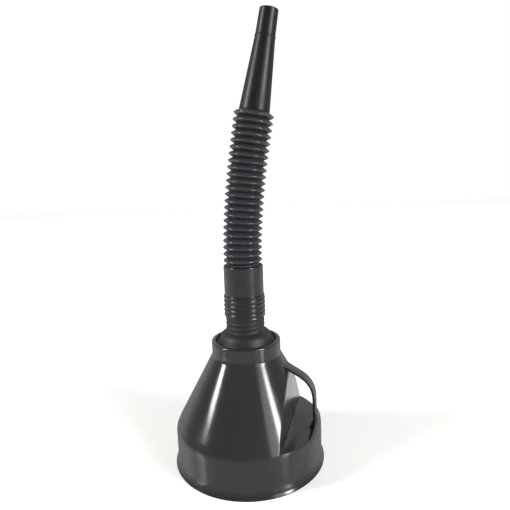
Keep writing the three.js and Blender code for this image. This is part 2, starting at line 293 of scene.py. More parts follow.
def wovenBrass(name, look):
    material, tree, shader, where = newMaterial(name, "ShaderNodeBsdfPrincipled")
    values = {"Vector": where, "Scale": look["tarnishScale"], "Detail": 5}
    tarnish = makeNode(tree, "ShaderNodeTexNoise", (-600, 0), values)
    values = {"Value": tarnish, "To Min": look["smoothest"], "To Max": look["roughest"]}
    feed(tree, shader, {
        "Base Color": mixColours(tree, tarnish, look["dullColour"], look["brightColour"]),
        "Roughness": makeNode(tree, "ShaderNodeMapRange", (-300, -150), values), "Metallic": 1,
    })
    return material


collarPlastic = mouldedPlastic("collarPlastic", {
    "darkColour": (0.0060, 0.0063, 0.0070), "lightColour": (0.0085, 0.0089, 0.0098),
    "mottleScale": 40, "marksScale": 60,
    "smoothest": 0.2, "roughest": 0.28, "grazeRoughness": 0.35, "ior": 1.34,
    "grainScale": 1600, "grainStrength": 0.12, "grainDepth": 0.05,
    "waveScale": 30, "waveStrength": 0.2, "waveDepth": 0.3,
})
neckPlastic = mouldedPlastic("neckPlastic", {
    "darkColour": (0.0068, 0.0071, 0.0077), "lightColour": (0.0098, 0.0102, 0.0110),
    "mottleScale": 30, "marksScale": 50,
    "smoothest": 0.46, "roughest": 0.58, "grazeRoughness": 0.25, "ior": 1.33,
    "grainScale": 1200, "grainStrength": 0.2, "grainDepth": 0.06,
    "waveScale": 30, "waveStrength": 0.2, "waveDepth": 0.3,
})
nozzlePlastic = mouldedPlastic("nozzlePlastic", {
    "darkColour": (0.0028, 0.0029, 0.0033), "lightColour": (0.0045, 0.0046, 0.0052),
    "mottleScale": 35, "marksScale": 55,
    "smoothest": 0.32, "roughest": 0.44, "grazeRoughness": 0.5, "ior": 1.27,
    "grainScale": 1200, "grainStrength": 0.2, "grainDepth": 0.06,
    "waveScale": 35, "waveStrength": 0.2, "waveDepth": 0.25,
})
hosePlastic = mouldedPlastic("hosePlastic", {
    "darkColour": (0.0185, 0.0195, 0.0220), "lightColour": (0.0265, 0.0275, 0.0310),
    "mottleScale": 45, "marksScale": 80,
    "smoothest": 0.16, "roughest": 0.26, "grazeRoughness": 0.4, "ior": 1.36,
    "grainScale": 1500, "grainStrength": 0.15, "grainDepth": 0.05,
    "waveScale": 50, "waveStrength": 0.2, "waveDepth": 0.2,
})
strainerPlastic = mouldedPlastic("strainerPlastic", {
    "darkColour": (0.020, 0.021, 0.021), "lightColour": (0.030, 0.031, 0.031),
    "mottleScale": 60, "marksScale": 90,
    "smoothest": 0.35, "roughest": 0.5, "grazeRoughness": 0.3, "ior": 1.45,
    "grainScale": 1800, "grainStrength": 0.3, "grainDepth": 0.08,
    "waveScale": 40, "waveStrength": 0.1, "waveDepth": 0.2,
})
gauzeBrass = wovenBrass("gauzeBrass", {
    "dullColour": (0.36, 0.27, 0.12), "brightColour": (0.62, 0.48, 0.24),
    "tarnishScale": 90, "smoothest": 0.25, "roughest": 0.45,
})
print("materials made")


# Bell: one moulding with its rim, throat ring, hand pocket and strap.

bell = {
    "skirtRadius": 70.0, "rimWidth": 2.5, "rimHeight": 0.9, "flareRise": 2.1, "flareTop": 7.2,
    "skirtHeight": 36.8, "shoulderRadius": 14.8, "wall": 2.0,
    "topRadius": 32.5, "topHeight": 106.2, "ringFillet": 4.0,
    "ringHeight": 13.6, "ringEase": 2.6, "throatRadius": 28.5, "throatEase": 1.6,
    "ledgeRadius": 26.8, "ledgeThickness": 2.0,
    "handleAzimuth": -14.5, "pocketWall": 41.7, "pocketFloor": 37.2,
    "pocketLip": 2.6, "pocketFoot": 9.0, "pocketEdge": 5.5, "innerLip": 3.0, "innerFoot": 2.0, "innerEdge": 4.0,
    "footWidth": 58.0, "footHeight": 14.0, "footBulge": 0.45, "footInset": 3.6,
    "footLedge": 1.6, "footLean": 0.12, "footEase": 0.4,
    "edgeReach": 6.0, "coneStart": 3.2, "coneSteps": 6, "sidePoints": 44, "sides": 360,
}
strap = {
    "rootDrop": 9.8, "slope": 30.0, "underSlope": 30.0, "rootDepth": 2.8, "bendRadius": 28.0,
    "bendSetback": 0.577, "inset": 4.8, "footInset": 3.6, "thickness": 2.4,
    "width": 12.6, "innerWidth": 11.8, "rootWidth": 14.0, "rootShare": 0.14, "ease": 0.55,
    "bendSteps": 30, "legSteps": 14,
}
bell["slope"] = (bell["skirtRadius"] - bell["topRadius"]) / (bell["topHeight"] - bell["skirtHeight"])
bodyPlastic = mouldedPlastic("bodyPlastic", {
    "darkColour": (0.0108, 0.0114, 0.0106), "lightColour": (0.0160, 0.0167, 0.0157),
    "mottleScale": 18, "marksScale": 32,
    "smoothest": 0.11, "roughest": 0.19, "grazeRoughness": 0.35, "ior": 1.35,
    "polishedWall": {
        "azimuth": bell["handleAzimuth"], "distance": bell["pocketWall"], "tolerance": 0.8, "share": 0.8,
    },
    "grainScale": 1400, "grainStrength": 0.12, "grainDepth": 0.05,
    "waveScale": 14, "waveStrength": 0.25, "waveDepth": 0.5,
})


def shoulderArc(side):  # middle and end of the round shoulder between skirt and cone
    lean = math.atan(bell["slope"])
    setback = side["fillet"] * math.tan(lean / 2)
    middle = (side["skirtRadius"] - side["fillet"], side["cornerHeight"] - setback)
    end = middle[1] + side["fillet"] * math.sin(lean)
    return middle, end


def radiusAt(side, height):
    middle, end = shoulderArc(side)
    if height >= end:
        return side["skirtRadius"] - bell["slope"] * (height - side["cornerHeight"])
    if height <= middle[1]:
        return side["skirtRadius"]
    return middle[0] + math.sqrt(side["fillet"] ** 2 - (height - middle[1]) ** 2)


def heightAt(side, radius):
    middle, end = shoulderArc(side)
    if radius <= radiusAt(side, end):
        return side["cornerHeight"] + (side["skirtRadius"] - radius) / bell["slope"]
    return middle[1] + math.sqrt(max(side["fillet"] ** 2 - (radius - middle[0]) ** 2, 0))


def footRise(across):  # height of the upstand above the pocket's floor, at a distance from the strap's middle
    half = bell["footWidth"] / 2
    if across >= half:
        return 0
    top = strap["width"] / 2
    if across <= top:
        return bell["footHeight"]
    low, high = 0.0, 1.0
    for _ in range(30):  # the upstand's edge is a curve from the foot's end up to the strap
        share = (low + high) / 2
        reach = half * (1 - share) ** 2 + strap["width"] * 2 * share * (1 - share) + top * share ** 2
        low, high = (share, high) if reach > across else (low, share)
    bulge = bell["footHeight"] * bell["footBulge"]
    return bulge * 2 * share * (1 - share) + bell["footHeight"] * share ** 2


def sideOutline(side, azimuth):  # the bell's side from the skirt up, with the pocket where it reaches
    middle, _ = shoulderArc(side)
    floor = side["pocketFloor"]
    turned = azimuth - math.radians(bell["handleAzimuth"])
    turned = math.atan2(math.sin(turned), math.cos(turned))
    ahead = math.cos(turned)
    edgeRadius = radiusAt(side, floor)
    wallRadius = side["pocketWall"] / ahead if ahead > 0.2 else edgeRadius
    wallRadius = min(wallRadius, edgeRadius)
    wallTop = max(heightAt(side, wallRadius), floor)
    rise = footRise(abs(edgeRadius * math.sin(turned))) if side["foot"] and ahead > 0 else 0
    share = rise / bell["footHeight"]
    crest = Vector((edgeRadius + (bell["skirtRadius"] - bell["footInset"] - edgeRadius) * share, floor + rise))
    start = Vector((side["skirtRadius"], middle[1]))
    pull = Vector((side["skirtRadius"], middle[1] + (crest.y - middle[1]) * (0.5 + 0.2 * share)))
    points = []
    for step in range(8):
        part = step / 8
        points.append(start * (1 - part) ** 2 + pull * 2 * part * (1 - part) + crest * part ** 2)
    inner = Vector((crest.x - min(bell["footLedge"], 0.5 * rise), crest.y))
    foot = Vector((inner.x - bell["footLean"] * rise, floor))
    corner = Vector((min(wallRadius, foot.x), floor))
    top = Vector((wallRadius, wallTop))
    aboveHeight = wallTop + bell["edgeReach"]
    above = Vector((radiusAt(side, aboveHeight), aboveHeight))
    points += softPath([
        (points.pop(), 0.0), (crest, side["lip"]), (inner, side["lip"]),
        (foot, side["lip"] + bell["footEase"] * rise),
        (corner, side["footEase"]), (top, side["edge"]), (above, 0.0),
    ], bell["sidePoints"])
    begin, steps = points[-1].y, bell["coneSteps"]
    cone = begin + bell["coneStart"]
    for low, span in ((begin, bell["coneStart"]), (cone, side["top"] - cone)):
        for step in range(1, steps + 1):
            height = low + span * step / steps
            points.append(Vector((radiusAt(side, height), height)))
    return points


def bellOutline(azimuth):
    slant = bell["wall"] / math.cos(math.atan(bell["slope"]))
    outer = {
        "skirtRadius": bell["skirtRadius"], "cornerHeight": bell["skirtHeight"],
        "fillet": bell["shoulderRadius"],
        "pocketFloor": bell["pocketFloor"], "pocketWall": bell["pocketWall"], "foot": True,
        "lip": bell["pocketLip"], "footEase": bell["pocketFoot"], "edge": bell["pocketEdge"],
        "top": bell["topHeight"] - bell["ringFillet"],
    }
    inner = {
        "skirtRadius": bell["skirtRadius"] - bell["wall"],
        "cornerHeight": bell["skirtHeight"] - (slant - bell["wall"]) / bell["slope"],
        "fillet": bell["shoulderRadius"] - bell["wall"],
        "pocketFloor": bell["pocketFloor"] - bell["wall"], "pocketWall": bell["pocketWall"] - bell["wall"],
        "foot": False, "lip": bell["innerLip"], "footEase": bell["innerFoot"], "edge": bell["innerEdge"],
        "top": bell["topHeight"] - bell["ledgeThickness"] - 0.8,
    }
    inside = inner["skirtRadius"]
    mouth = bell["skirtRadius"] + bell["rimWidth"]
    flareHeight = bell["rimHeight"] + bell["flareRise"]
    above = 30.0  # only gives the rim's last edges their direction
    rim = easedOutline([
        (inside, above, 0), (inside, 0.0, 0.5), (mouth, 0.0, 0.6), (mouth, bell["rimHeight"], 0.7),
        (mouth - 0.5 * bell["rimWidth"], flareHeight, 1.6), (bell["skirtRadius"], bell["flareTop"], 1.6),
        (bell["skirtRadius"], above, 0),
    ])[1:-1]
    ringTop = bell["topHeight"] + bell["ringHeight"]
    underside = bell["topHeight"] - bell["ledgeThickness"]
    ring = easedOutline([
        (radiusAt(outer, outer["top"]), outer["top"], 0),
        (bell["topRadius"], bell["topHeight"], bell["ringFillet"]),
        (bell["topRadius"], ringTop, bell["ringEase"]), (bell["throatRadius"], ringTop, bell["throatEase"]),
        (bell["throatRadius"], bell["topHeight"], 0.4), (bell["ledgeRadius"], bell["topHeight"], 0.4),
        (bell["ledgeRadius"], underside, 0.4), (radiusAt(inner, underside), underside, 0.7),
        (radiusAt(inner, inner["top"]), inner["top"], 0),
    ])[1:-1]
    return rim + sideOutline(outer, azimuth) + ring + sideOutline(inner, azimuth)[::-1]


def strapPiece(material):
    slope = math.tan(math.radians(strap["slope"]))
    underSlope = math.tan(math.radians(strap["underSlope"]))
    rootHeight = bell["topHeight"] - strap["rootDrop"]
    rootRadius = bell["skirtRadius"] - bell["slope"] * (rootHeight - bell["skirtHeight"])
    buried = rootRadius - bell["wall"] / 2
    reach = bell["skirtRadius"] - strap["inset"]
    footReach = bell["skirtRadius"] - strap["footInset"]
    footHeight = bell["pocketFloor"] - bell["wall"] / 2
    thick, bendRadius = strap["thickness"], strap["bendRadius"]
    outside = [
        Vector((buried, rootHeight + (rootRadius - buried) * slope)),
        Vector((reach, rootHeight - (reach - rootRadius) * slope)),
        Vector((footReach, footHeight)),
    ]
    underRoot = rootHeight - strap["rootDepth"]
    underside = [
        Vector((buried, underRoot + (rootRadius - buried) * underSlope)),
        Vector((reach - thick, underRoot - (reach - thick - rootRadius) * underSlope)),
        Vector((footReach - thick, footHeight)),
    ]
    steps = strap["legSteps"]
    paths = []
    for (start, corner, end), radius in ((outside, bendRadius), (underside, bendRadius - thick)):
        bend = easedCorner(start, corner, end, radius * strap["bendSetback"], strap["bendSteps"])
        run = [start.lerp(bend[0], step / steps) for step in range(steps)]
        leg = [bend[-1].lerp(end, step / steps) for step in range(1, steps + 1)]
        paths.append(run + bend + leg)
    last = len(paths[0]) - 1
    points = []
    for index, (outer, inner) in enumerate(zip(*paths)):
        nearRoot = max(0.0, 1 - index / last / strap["rootShare"])
        flare = nearRoot ** 2 * (strap["rootWidth"] - strap["width"]) / 2
        wide, narrow = strap["width"] / 2 + flare, strap["innerWidth"] / 2 + flare
        deep = (outer - inner).length
        section = easedOutline([
            (wide, deep, strap["ease"]), (-wide, deep, strap["ease"]),
            (-narrow, 0, strap["ease"]), (narrow, 0, strap["ease"]),
        ])
        for across, through in section:
            place = inner.lerp(outer, through / deep)
            points.append((place.x, across, place.y))
    turn = Matrix.Rotation(math.radians(bell["handleAzimuth"]), 4, "Z")
    return barPiece("strap", points, len(section), material, turn)


def joinSolid(piece, other):  # one clean skin over both
    modifier = piece.modifiers.new("join", "BOOLEAN")
    modifier.operation = "UNION"
    modifier.solver = "EXACT"
    modifier.object = other
    bakePiece(piece)
    bpy.data.objects.remove(other)


funnelBell = turnedPiece("funnelBell", bellOutline, bell["sides"], bodyPlastic)
joinSolid(funnelBell, strapPiece(bodyPlastic))
finishMesh(funnelBell, bodyPlastic)
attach(funnelBell, "funnel")
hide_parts("funnel_body")
print("bell made:", len(funnelBell.data.polygons), "faces")


# Geometry nodes: what every tree needs, and the tree that cuts threads. The hose and the gauze have their own.

def newTree(name, inputs):
    tree = bpy.data.node_groups.new(name, "GeometryNodeTree")
    tree.interface.new_socket("Geometry", in_out="INPUT", socket_type="NodeSocketGeometry")
    for label, kind, value in inputs:
        socket = tree.interface.new_socket(label, in_out="INPUT", socket_type="NodeSocket" + kind)
        if value is not None:
            socket.default_value = value
    tree.interface.new_socket("Geometry", in_out="OUTPUT", socket_type="NodeSocketGeometry")
    entry = addNode(tree, "NodeGroupInput", (-1400, 0))
    leave = addNode(tree, "NodeGroupOutput", (1600, 0))

    def calc(operation, *values):
        return formula(tree, operation, *values)
    return tree, entry.outputs, leave.inputs["Geometry"], calc


def here(tree):  # the place that the tree is working on
    position = addNode(tree, "GeometryNodeInputPosition", (-1200, -200))
    split = addNode(tree, "ShaderNodeSeparateXYZ", (-1000, -200))
    tree.links.new(position.outputs[0], split.inputs[0])
    return split.outputs


def combine(tree, **parts):
    return makeNode(tree, "ShaderNodeCombineXYZ", (0, -200), parts)


def closeTree(tree, geometry, material, leave):  # every tree ends the same way
    realized = makeNode(tree, "GeometryNodeRealizeInstances", (1200, 0), {"Geometry": geometry})
    painted = makeNode(tree, "GeometryNodeSetMaterial", (1400, 0), {"Geometry": realized, "Material": material})
    tree.links.new(painted, leave)


def applyTree(piece, tree, values):
    modifier = piece.modifiers.new(tree.name, "NODES")
    modifier.node_group = tree
    for item in tree.interface.items_tree:
        if item.item_type == "SOCKET" and item.in_out == "INPUT" and item.name in values:
            modifier[item.identifier] = values[item.name]


def threadTree():
    tree, given, leave, calc = newTree("screwThread", [
        ("Pitch", "Float", 0.004), ("Depth", "Float", 0.001), ("Crest Height", "Float", 0.1),
        ("Lowest", "Float", 0.0), ("Highest", "Float", 0.1), ("Fade", "Float", 0.002),
        ("Root", "Float", 0.2), ("Crest", "Float", 0.8), ("Smallest Radius", "Float", 0.0),
        ("Material", "Material", None),
    ])
    x, y, z = here(tree)
    radius = calc("SQRT", calc("ADD", calc("MULTIPLY", x, x), calc("MULTIPLY", y, y)))
    angle = calc("ARCTAN2", y, x)
    front = calc("DIVIDE", calc("ADD", angle, math.pi / 2), 2 * math.pi)
    climb = calc("DIVIDE", calc("SUBTRACT", z, given["Crest Height"]), given["Pitch"])
    phase = calc("MULTIPLY", calc("SUBTRACT", climb, front), 2 * math.pi)
    swell = calc("MULTIPLY_ADD", calc("COSINE", phase), 0.5, 0.5)
    swell = ease(tree, swell, given["Root"], given["Crest"])  # flat root and crest, sloping flanks
    begin = ease(tree, z, given["Lowest"], calc("ADD", given["Lowest"], given["Fade"]))
    end = ease(tree, z, given["Highest"], calc("SUBTRACT", given["Highest"], given["Fade"]))
    height = calc("MULTIPLY", calc("MULTIPLY", begin, end), given["Depth"])
    height = calc("MULTIPLY", height, swell)
    outX = calc("MULTIPLY", calc("DIVIDE", x, radius), height)
    outY = calc("MULTIPLY", calc("DIVIDE", y, radius), height)
    moved = makeNode(tree, "GeometryNodeSetPosition", (900, 0), {
        "Geometry": given["Geometry"], "Offset": combine(tree, X=outX, Y=outY),
        "Selection": calc("GREATER_THAN", radius, given["Smallest Radius"]),
    })
    closeTree(tree, moved, given["Material"], leave)
    return tree


screwThread = threadTree()


# Neck fitting: skirt in the throat, rounded shoulder and the threaded neck.

neck = {
    "seatHeight": 106.5, "radius": 28.2, "wall": 1.6, "grooveHeight": 118.3, "grooveWidth": 2.6,
    "shoulderRadius": 23.2, "shoulderHeight": 125.7, "shoulderEase": 4.0, "footHeight": 129.1,
    "neckRadius": 17.3, "neckWall": 2.0, "footFlare": 0.9, "footRise": 0.5, "topHeight": 160.0, "topEase": 0.8,
    "pitch": 4.25, "threadDepth": 0.8, "crestHeight": 141.45, "threadLow": 128.6, "threadHigh": 159.2,
    "threadFade": 2.2, "threadRoot": 0.25, "threadCrest": 0.85, "outlineStep": 0.36, "sides": 144,
}


def neckOutline(azimuth):
    radius, wall = neck["radius"], neck["wall"]
    inner = neck["neckRadius"] - neck["neckWall"]
    domeFoot = radius - neck["grooveWidth"]
    groove, foot = neck["grooveHeight"], neck["footHeight"]
    points = easedOutline([
        (radius - wall, neck["seatHeight"], 0.4), (radius, neck["seatHeight"], 0.4),
        (radius, groove, 0.4), (domeFoot, groove, 0.6),
        (neck["shoulderRadius"], neck["shoulderHeight"], neck["shoulderEase"]),
        (neck["neckRadius"] + neck["footFlare"], foot - neck["footRise"], 0.8),
        (neck["neckRadius"], foot + neck["footRise"], 0.5),
        (neck["neckRadius"], neck["topHeight"], neck["topEase"]), (inner, neck["topHeight"], 0.5),
        (inner, foot - wall, 1.5), (neck["shoulderRadius"] - wall, neck["shoulderHeight"] - wall, 2.5),
        (domeFoot - wall, groove - 2 * wall + neck["grooveWidth"], 0.8),
        (radius - wall, groove - 2 * wall, 0.8),
    ], 8)
    return spreadOutline(points, neck["outlineStep"])


neckFitting = turnedPiece("neckFitting", neckOutline, neck["sides"], neckPlastic)
applyTree(neckFitting, screwThread, {
    "Pitch": neck["pitch"] * mm, "Depth": neck["threadDepth"] * mm, "Crest Height": neck["crestHeight"] * mm,
    "Lowest": neck["threadLow"] * mm, "Highest": neck["threadHigh"] * mm, "Fade": neck["threadFade"] * mm,
    "Root": neck["threadRoot"], "Crest": neck["threadCrest"],
    "Smallest Radius": (neck["neckRadius"] - 0.4) * mm, "Material": neckPlastic,
})
bakePiece(neckFitting)
finishMesh(neckFitting, neckPlastic, 50)
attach(neckFitting, "funnel")
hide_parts("neck_fitting")
print("neck made")


# Collar: smooth grip above, wall that follows the thread below.

collar = {
    "bottomHeight": 142.4, "gripHeight": 163.6, "topHeight": 191.0, "gripRadius": 18.3, "lipEase": 4.2,
    "threadRadius": 18.5, "boreRadius": 17.62, "mouthRadius": 15.2, "mouthEase": 0.6,
    "shoulderHeight": 163.1, "threadDepth": 0.75, "crestHeight": 145.7,
    "threadFade": 1.4, "threadRoot": 0.1, "threadCrest": 0.8, "outlineStep": 0.36, "sides": 144,
}


def collarOutline(azimuth):
    points = easedOutline([
        (collar["boreRadius"], collar["bottomHeight"], 0.25),
        (collar["threadRadius"], collar["bottomHeight"], 0.4),
        (collar["threadRadius"], collar["gripHeight"] - 0.6, 0.5),
        (collar["gripRadius"], collar["gripHeight"] + 0.4, 0.5),
        (collar["gripRadius"], collar["topHeight"], collar["lipEase"]),
        (collar["mouthRadius"], collar["topHeight"], collar["mouthEase"]),
        (collar["mouthRadius"], collar["shoulderHeight"], 0.3),
        (collar["boreRadius"], collar["shoulderHeight"], 0.3),
    ], 8)
    return spreadOutline(points, collar["outlineStep"])


spoutCollar = turnedPiece("spoutCollar", collarOutline, collar["sides"], collarPlastic)
applyTree(spoutCollar, screwThread, {
    "Pitch": neck["pitch"] * mm, "Depth": collar["threadDepth"] * mm,
    "Crest Height": collar["crestHeight"] * mm,
    "Lowest": (collar["bottomHeight"] - 0.4) * mm, "Highest": (collar["gripHeight"] + 0.2) * mm,
    "Fade": collar["threadFade"] * mm, "Root": collar["threadRoot"], "Crest": collar["threadCrest"],
    "Smallest Radius": (collar["mouthRadius"] + 0.6) * mm, "Material": collarPlastic,
})
bakePiece(spoutCollar)
finishMesh(spoutCollar, collarPlastic, 50)
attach(spoutCollar, "collar")
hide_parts("spout_collar")
print("collar made")


# Hose: a path that runs straight, bends and runs straight again, with a slight sway, and ribs as its radius.

hose = {
    "bottomHeight": 160.3, "firstRibHeight": 195.55, "ribCount": 23, "ribPitch": 5.88,
    "ribRadius": 17.9, "rootRadius": 13.9, "cuffRadius": 14.8, "flangeRadius": 17.2, "flangeThickness": 2.5,
    "straightRibLength": 4.4, "bendAngle": 10.5, "sway": 0.9, "wall": 0.9, "crestRound": 0.3,
    "stepsPerRib": 14, "sides": 96,
}
swayShape = 16.0  # share^2 * (1 - share)^2 is a sixteenth at its middle
hose["firstRibRun"] = hose["firstRibHeight"] - hose["bottomHeight"]
hose["length"] = hose["firstRibRun"] + (hose["ribCount"] - 0.5) * hose["ribPitch"]
hose["straightRun"] = hose["firstRibRun"] + hose["straightRibLength"]
hose["bendRun"] = hose["length"] - hose["straightRun"] - 2 * hose["ribRadius"]


def alongHose(run):  # place and lean of the hose's middle line
    bendRadius = hose["bendRun"] / math.radians(hose["bendAngle"])
    turned = min(max(run - hose["straightRun"], 0), hose["bendRun"]) / bendRadius
    beyond = max(run - hose["straightRun"] - hose["bendRun"], 0)
    x = bendRadius * (1 - math.cos(turned)) + beyond * math.sin(turned)
    share = min(max((run - hose["firstRibRun"]) / (hose["length"] - hose["firstRibRun"]), 0), 1)
    x += hose["sway"] * swayShape * share ** 2 * (1 - share) ** 2
    z = hose["bottomHeight"] + min(run, hose["straightRun"])
    return Vector((x, 0, z + bendRadius * math.sin(turned) + beyond * math.cos(turned))), turned


def hoseTree():
    tree, given, leave, calc = newTree("ribbedHose", [
        ("Bottom Height", "Float", 0.0), ("Length", "Float", 0.1), ("First Rib", "Float", 0.03),
        ("Rib Pitch", "Float", 0.006), ("Rib Radius", "Float", 0.018), ("Root Radius", "Float", 0.014),
        ("Crest Round", "Float", 0.2), ("Cuff Radius", "Float", 0.015), ("Flange Radius", "Float", 0.017),
        ("Flange Thickness", "Float", 0.0025), ("Straight Run", "Float", 0.04), ("Bend Run", "Float", 0.09),
        ("Bend Angle", "Float", 0.2), ("Sway", "Float", 0.0), ("Steps", "Int", 300), ("Sides", "Int", 64),
        ("Material", "Material", None),
    ])
    tip = combine(tree, Z=given["Length"])
    line = makeNode(tree, "GeometryNodeCurvePrimitiveLine", (-1100, 300), {"End": tip})
    path = makeNode(tree, "GeometryNodeResampleCurve", (-900, 300), {"Curve": line, "Count": given["Steps"]})
    run = here(tree)["Z"]

    fromRib = calc("DIVIDE", calc("SUBTRACT", run, given["First Rib"]), given["Rib Pitch"])
    fromRib = calc("ADD", fromRib, 0.5)
    away = calc("ABSOLUTE", calc("MULTIPLY", calc("SUBTRACT", calc("FRACT", fromRib), 0.5), 2.0))
    blunt = calc("MULTIPLY", given["Crest Round"], given["Crest Round"])
    slantSide = calc("SQRT", calc("ADD", calc("MULTIPLY", away, away), blunt))
    longest = calc("SQRT", calc("ADD", 1.0, blunt))
    highest = calc("SUBTRACT", longest, given["Crest Round"])
    rise = calc("DIVIDE", calc("SUBTRACT", longest, slantSide), highest)
    ribDepth = calc("SUBTRACT", given["Rib Radius"], given["Root Radius"])
    ribbed = calc("MULTIPLY_ADD", rise, ribDepth, given["Root Radius"])
    onFlange = calc("LESS_THAN", run, given["Flange Thickness"])
    flangeExtra = calc("SUBTRACT", given["Flange Radius"], given["Cuff Radius"])
    cuff = calc("MULTIPLY_ADD", onFlange, flangeExtra, given["Cuff Radius"])
    onRibs = calc("GREATER_THAN", fromRib, 0.0)
    plain = calc("MULTIPLY", calc("SUBTRACT", 1.0, onRibs), cuff)
    radius = calc("ADD", calc("MULTIPLY", onRibs, ribbed), plain)

    bendRadius = calc("DIVIDE", given["Bend Run"], given["Bend Angle"])
    intoBend = calc("SUBTRACT", run, given["Straight Run"])
    turned = calc("DIVIDE", calc("MINIMUM", calc("MAXIMUM", intoBend, 0.0), given["Bend Run"]), bendRadius)
    beyond = calc("MAXIMUM", calc("SUBTRACT", intoBend, given["Bend Run"]), 0.0)
    sine, cosine = calc("SINE", turned), calc("COSINE", turned)
    aside = calc("MULTIPLY_ADD", bendRadius, calc("SUBTRACT", 1.0, cosine), calc("MULTIPLY", beyond, sine))
    ribbedRun = calc("SUBTRACT", given["Length"], given["First Rib"])
    share = calc("MAXIMUM", calc("DIVIDE", calc("SUBTRACT", run, given["First Rib"]), ribbedRun), 0.0)
    lean = calc("MULTIPLY", share, calc("SUBTRACT", 1.0, share))
    sway = calc("MULTIPLY", calc("MULTIPLY", lean, lean), calc("MULTIPLY", given["Sway"], swayShape))
    aside = calc("ADD", aside, sway)
    up = calc("ADD", given["Bottom Height"], calc("MINIMUM", run, given["Straight Run"]))
    up = calc("ADD", up, calc("MULTIPLY_ADD", bendRadius, sine, calc("MULTIPLY", beyond, cosine)))

    keep = addNode(tree, "GeometryNodeCaptureAttribute", (-600, 300))  # reads the radius before the path moves
    keep.capture_items.new("FLOAT", "Radius")
    feed(tree, keep, {"Geometry": path, "Radius": radius})
    bent = makeNode(tree, "GeometryNodeSetPosition", (400, 300), {
        "Geometry": keep.outputs["Geometry"], "Position": combine(tree, X=aside, Z=up),
    })
    ring = {"Radius": 1.0, "Resolution": given["Sides"]}
    circle = makeNode(tree, "GeometryNodeCurvePrimitiveCircle", (600, 0), ring, mode="RADIUS")
    skin = makeNode(tree, "GeometryNodeCurveToMesh", (800, 300), {
        "Curve": bent, "Profile Curve": circle, "Scale": keep.outputs["Radius"],
    })
    closeTree(tree, skin, given["Material"], leave)
    return tree


spoutHose = newObject("spoutHose", bpy.data.meshes.new("spoutHose"))
applyTree(spoutHose, hoseTree(), {
    "Bottom Height": hose["bottomHeight"] * mm, "Length": hose["length"] * mm,
    "First Rib": hose["firstRibRun"] * mm, "Rib Pitch": hose["ribPitch"] * mm,
    "Rib Radius": hose["ribRadius"] * mm, "Root Radius": hose["rootRadius"] * mm,
    "Crest Round": hose["crestRound"], "Cuff Radius": hose["cuffRadius"] * mm,
    "Flange Radius": hose["flangeRadius"] * mm, "Flange Thickness": hose["flangeThickness"] * mm,
    "Straight Run": hose["straightRun"] * mm, "Bend Run": hose["bendRun"] * mm,
    "Bend Angle": math.radians(hose["bendAngle"]), "Sway": hose["sway"] * mm,
    "Steps": round(hose["length"] / hose["ribPitch"] * hose["stepsPerRib"]) + 1, "Sides": hose["sides"],
    "Material": hosePlastic,
})
bakePiece(spoutHose)


def thickenInward(piece, wall):
    work = bmesh.new()
    work.from_mesh(piece.data)
    bmesh.ops.remove_doubles(work, verts=work.verts, dist=weldDistance)
    bmesh.ops.recalc_face_normals(work, faces=work.faces)
    lead = max(work.faces, key=lambda face: Vector(face.calc_center_median().xy).length)
    if lead.normal.dot(Vector((*lead.calc_center_median().xy, 0))) < 0:
        bmesh.ops.reverse_faces(work, faces=work.faces)
    work.to_mesh(piece.data)
    work.free()
    modifier = piece.modifiers.new("wall", "SOLIDIFY")
    modifier.thickness = wall * mm
    modifier.offset = -1
    modifier.use_even_offset = True
    bakePiece(piece)


thickenInward(spoutHose, hose["wall"])
finishMesh(spoutHose, hosePlastic, 50)
bendFrom, _ = alongHose(hose["firstRibRun"] - hose["ribPitch"] / 2)
bendTo, _ = alongHose(hose["length"] - hose["ribPitch"] / 2)
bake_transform(spoutHose)
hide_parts("spout_hose")
print("hose made:", len(spoutHose.data.polygons), "faces")


# Nozzle: long taper with a band near its tip, on the hose's leaning end.

nozzle = {
    "length": 84.2, "baseRadius": 13.6, "waistRadius": 8.85, "waistLength": 61.0,
    "bandRise": 0.35, "bandWidth": 1.4, "tipRadius": 8.1, "tipEase": 2.0, "wall": 1.9,
    "spigotRadius": 12.0, "spigotLength": 9.0, "gap": 0.3, "outlineStep": 2.0, "sides": 144,
}


def nozzleOutline(azimuth):
    wall, waist = nozzle["wall"], nozzle["waistLength"]
    bandTop = waist + nozzle["bandWidth"]
    radius = nozzle["waistRadius"]
    points = easedOutline([
        (nozzle["spigotRadius"] - wall, -nozzle["spigotLength"], 0.4),
        (nozzle["spigotRadius"], -nozzle["spigotLength"], 0.5), (nozzle["spigotRadius"], 0, 0.15),
        (nozzle["baseRadius"], 0, 0.6), (radius, waist, 0.3), (radius + nozzle["bandRise"], waist + 0.3, 0.25),
        (radius + nozzle["bandRise"], bandTop - 0.3, 0.25), (radius - 0.15, bandTop, 0.3),
        (nozzle["tipRadius"], nozzle["length"], nozzle["tipEase"]),
        (nozzle["tipRadius"] - wall, nozzle["length"], 0.6), (radius - wall, waist, 0),
    ], 7)
    return spreadOutline(points, nozzle["outlineStep"])


hoseEnd, hoseLean = alongHose(hose["length"] + nozzle["gap"])
nozzlePlace = Matrix.Translation(hoseEnd * mm) @ Matrix.Rotation(hoseLean, 4, "Y")
spoutNozzle = turnedPiece("spoutNozzle", nozzleOutline, nozzle["sides"], nozzlePlastic, nozzlePlace)
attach(spoutNozzle, "nozzle")
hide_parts("spout_nozzle")
print("nozzle made")


# Strainer: flanged ring with spokes, and a woven gauze over them.

strainer = {
    "flangeTop": 103.9, "flangeThickness": 1.8, "flangeReach": 4.0, "spigotRadius": 26.5, "spigotWall": 1.8,
    "spigotHeight": 5.0, "spokeWidth": 2.0, "spokeTaper": 0.7, "spokeCount": 4, "gauzeGap": 0.55,
    "ease": 0.35, "sides": 144,
}
gauze = {"radius": 24.35, "height": 106.4, "wire": 0.15, "spacing": 0.8, "wave": 0.09, "stepsPerWire": 96}


